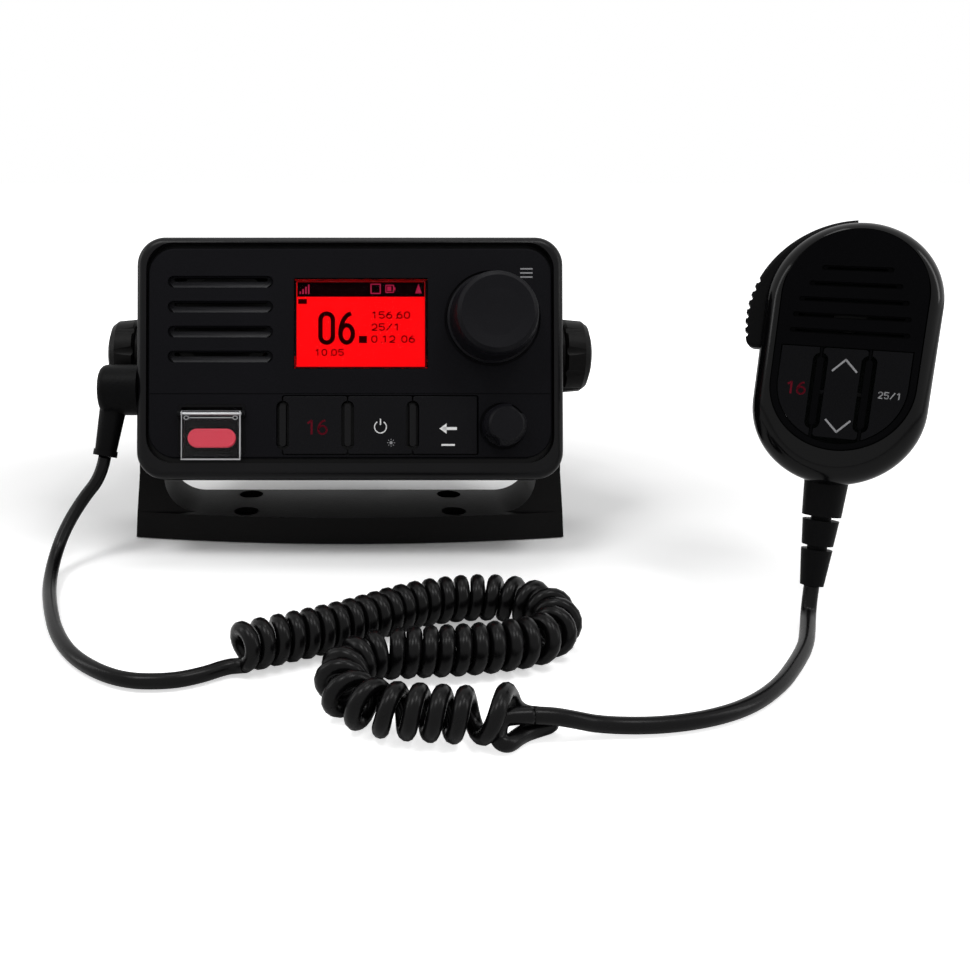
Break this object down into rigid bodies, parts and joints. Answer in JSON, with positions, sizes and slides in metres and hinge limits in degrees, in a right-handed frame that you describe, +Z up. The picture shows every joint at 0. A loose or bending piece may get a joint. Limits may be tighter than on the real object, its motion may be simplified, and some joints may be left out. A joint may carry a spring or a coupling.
{
  "type": "vhf marine radio",
  "caption": "Fixed VHF marine radio on a tilting U bracket, with display, knobs, keys and a covered distress switch, and a fist microphone on a curly cord.",
  "frame": {"origin": "on the underside of the bracket's base, straight below the middle of the tilt axis", "axes": "+X to the right of the display as its user sees it, -Y towards the user, +Z up"},
  "size_m": [0.3196, 0.2495, 0.134],
  "materials": {
    "satin_black": "satin moulded plastic",
    "panel_black": "fine matte moulded plastic",
    "strip_black": "fine matte moulded plastic",
    "gloss_black": "glossy moulded plastic",
    "rubber_black": "moulded rubber",
    "cord_black": "satin cord jacket",
    "cast_black": "powder-coated casting",
    "display_glass": "clear lens",
    "clear_cover": "clear polycarbonate",
    "lcd": "red backlit liquid crystal display",
    "distress_red": "satin moulded plastic",
    "board_green": "solder mask",
    "part_black": "moulded component",
    "steel": "stainless steel",
    "brass": "turned brass",
    "nickel": "nickel plated brass",
    "seal_grey": "foam rubber",
    "nylon": "nylon"
  },
  "bodies": {
    "bracket": {"mounting_bracket": "satin_black", "mic_clip": "satin_black", "cord_lead_radio": "cord_black", "cord_coil": "cord_black", "cord_lead_microphone": "cord_black"},
    "radio": {"bezel": "satin_black", "fascia": "panel_black", "key_frame": "satin_black", "display_window": "display_glass", "lcd_module": "lcd", "speaker": "part_black", "front_board": "board_green", "main_board": "board_green", "distress_well": "part_black", "distress_hinge_pin": "steel", "housing_seal": "seal_grey", "rear_housing": "cast_black", "housing_screws": "steel", "antenna_socket": "nickel", "power_inlet": "satin_black", "data_inlet": "satin_black", "pivot_insert_right": "brass", "pivot_insert_left": "brass", "friction_washer_right": "nylon", "friction_washer_left": "nylon", "cord_boot": "rubber_black", "channel_encoder": "part_black", "volume_encoder": "part_black"},
    "channel_press": {"channel_plunger": "steel"},
    "channel_knob": {"channel_knob": "satin_black", "channel_shaft": "brass"},
    "volume_press": {"volume_plunger": "steel"},
    "volume_knob": {"volume_knob": "satin_black", "volume_shaft": "brass"},
    "distress_cover": {"distress_cover": "clear_cover"},
    "distress_button": {"distress_button": "distress_red"},
    "key_sixteen": {"key_sixteen": "strip_black"},
    "key_power": {"key_power": "strip_black"},
    "key_back": {"key_back": "strip_black"},
    "bracket_knob_left": {"bracket_knob_left": "satin_black", "bracket_stud_left": "steel"},
    "bracket_knob_right": {"bracket_knob_right": "satin_black", "bracket_stud_right": "steel"},
    "microphone": {"handset_front_shell": "gloss_black", "handset_rear_shell": "gloss_black", "handset_face": "panel_black", "microphone_capsule": "part_black", "handset_board": "board_green", "handset_screws": "steel", "hang_stud": "steel", "handset_boot": "rubber_black", "ptt_pin": "steel"},
    "ptt_button": {"ptt_button": "rubber_black"},
    "handset_key_sixteen": {"handset_key_sixteen": "panel_black"},
    "handset_key_power": {"handset_key_power": "panel_black"},
    "handset_rocker": {"handset_rocker": "panel_black"}
  },
  "joints": [
    {"name": "tilt", "type": "hinge", "parent": "bracket", "child": "radio", "pos_m": [0, 0, 0.074], "axis": [1, 0, 0], "range_deg": [-8, 20], "deforming": ["cord_lead_radio"]},
    {"name": "channel_press", "type": "slide", "parent": "radio", "child": "channel_press", "axis": [0, 0.9472, -0.3206], "range_m": [0, 0.0008], "stiffness_N_per_m": 1500, "springref_m": -0.001},
    {"name": "channel_turn", "type": "hinge", "parent": "channel_press", "child": "channel_knob", "pos_m": [0.0553, -0.02811, 0.09418], "axis": [0, -0.9472, 0.3206], "continuous": true},
    {"name": "volume_press", "type": "slide", "parent": "radio", "child": "volume_press", "axis": [0, 0.9472, -0.3206], "range_m": [0, 0.0008], "stiffness_N_per_m": 1500, "springref_m": -0.001},
    {"name": "volume_turn", "type": "hinge", "parent": "volume_press", "child": "volume_knob", "pos_m": [0.0592, -0.04155, 0.05449], "axis": [0, -0.9472, 0.3206], "continuous": true},
    {"name": "distress_cover_hinge", "type": "hinge", "parent": "radio", "child": "distress_cover", "pos_m": [-0.0536, -0.04159, 0.05936], "axis": [-1, 0, 0], "range_deg": [0, 100], "stiffness_Nm_per_rad": 0.002, "springref_deg": -17.19},
    {"name": "distress_press", "type": "slide", "parent": "radio", "child": "distress_button", "axis": [0, 0.9472, -0.3206], "range_m": [0, 0.0012], "stiffness_N_per_m": 1500, "springref_m": -0.001},
    {"name": "key_sixteen_press", "type": "slide", "parent": "radio", "child": "key_sixteen", "axis": [0, 0.9472, -0.3206], "range_m": [0, 0.0008], "stiffness_N_per_m": 1500, "springref_m": -0.001},
    {"name": "key_power_press", "type": "slide", "parent": "radio", "child": "key_power", "axis": [0, 0.9472, -0.3206], "range_m": [0, 0.0008], "stiffness_N_per_m": 1500, "springref_m": -0.001},
    {"name": "key_back_press", "type": "slide", "parent": "radio", "child": "key_back", "axis": [0, 0.9472, -0.3206], "range_m": [0, 0.0008], "stiffness_N_per_m": 1500, "springref_m": -0.001},
    {"name": "bracket_knob_left_turn", "type": "hinge", "parent": "radio", "child": "bracket_knob_left", "pos_m": [-0.094, 0, 0.074], "axis": [-1, 0, 0], "continuous": true},
    {"name": "bracket_knob_right_turn", "type": "hinge", "parent": "radio", "child": "bracket_knob_right", "pos_m": [0.094, 0, 0.074], "axis": [1, 0, 0], "continuous": true},
    {"name": "microphone_lift", "type": "slide", "parent": "bracket", "child": "microphone", "axis": [0.0846, 0.1899, 0.9781], "range_m": [0, 0.025], "deforming": ["cord_lead_microphone"]},
    {"name": "ptt_press", "type": "hinge", "parent": "microphone", "child": "ptt_button", "pos_m": [0.15827, -0.07309, 0.12599], "axis": [-0.3978, -0.8936, 0.2079], "range_deg": [0, 4], "stiffness_Nm_per_rad": 0.9, "springref_deg": -2.86},
    {"name": "handset_key_sixteen_press", "type": "slide", "parent": "microphone", "child": "handset_key_sixteen", "axis": [0.3978, 0.8936, -0.2079], "range_m": [0, 0.0007], "stiffness_N_per_m": 800, "springref_m": -0.001},
    {"name": "handset_key_power_press", "type": "slide", "parent": "microphone", "child": "handset_key_power", "axis": [0.3978, 0.8936, -0.2079], "range_m": [0, 0.0007], "stiffness_N_per_m": 800, "springref_m": -0.001},
    {"name": "handset_rocker_tilt", "type": "hinge", "parent": "microphone", "child": "handset_rocker", "pos_m": [0.1605, -0.09758, 0.07985], "axis": [0.9135, -0.4067, 0], "range_deg": [-2.5, 2.5], "stiffness_Nm_per_rad": 0.4}
  ]
}
